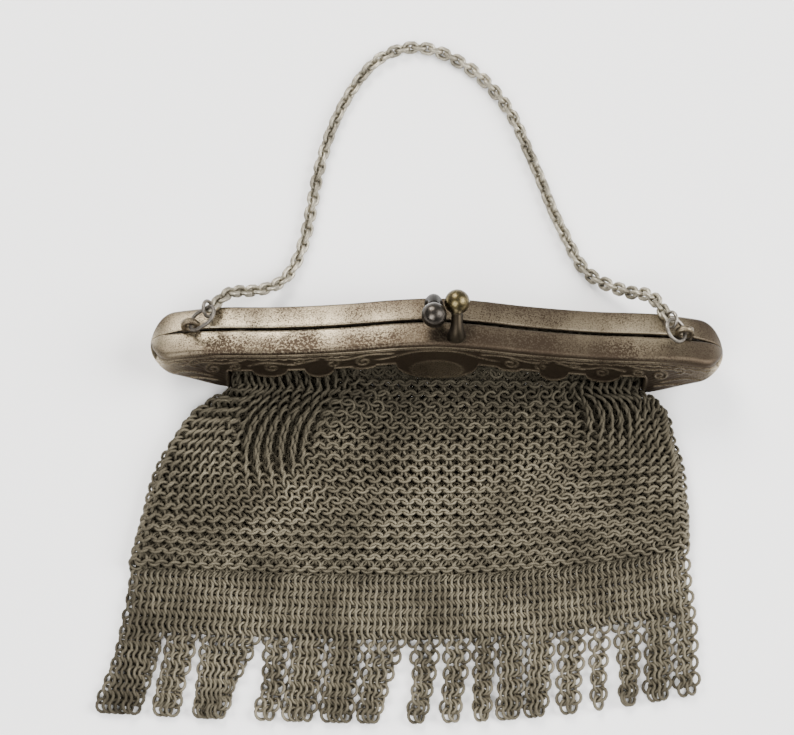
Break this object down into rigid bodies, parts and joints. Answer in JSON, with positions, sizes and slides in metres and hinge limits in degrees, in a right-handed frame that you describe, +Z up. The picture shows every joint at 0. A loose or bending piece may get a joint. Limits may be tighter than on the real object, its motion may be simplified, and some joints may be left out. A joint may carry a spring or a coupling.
{
  "type": "metal mesh purse",
  "caption": "Small antique ring-mesh purse on a scalloped, engraved metal frame with crossing ball clasp, link chain handle and slit mesh fringe, lying flat",
  "frame": {"origin": "centre of the purse's outline as it lies, on the table", "axes": "+Z up from the table, +X to the viewer's right along the frame, +Y from the fringe towards the frame and the chain's far loop"},
  "size_m": [0.1116, 0.1338, 0.0225],
  "materials": {
    "frame_metal": "worn silver plate, warm and finely pitted, dark in the engraving",
    "pin_metal": "dull dark plate",
    "knob_brass": "plate worn through to dull brass",
    "knob_dark": "tarnished dark grey-brown plate",
    "ring_wire": "tarnished plated wire",
    "chain_metal": "dull grey-beige plated links",
    "mesh_rings": "linked wire rings, tarnished olive-grey with cream highlights",
    "fringe_rings": "linked wire rings in one layer, tarnished olive-grey"
  },
  "bodies": {
    "root": {"frame_front": "frame_metal", "frame_back": "frame_metal", "hinge_pin_left": "pin_metal", "hinge_pin_right": "pin_metal", "clasp_knob_front": "knob_brass", "clasp_knob_back": "knob_dark", "jump_ring_left": "ring_wire", "jump_ring_right": "ring_wire", "connector_ring_left": "ring_wire", "connector_ring_right": "ring_wire", "chain": "chain_metal", "pouch": "mesh_rings", "fringe": "fringe_rings"}
  },
  "joints": []
}
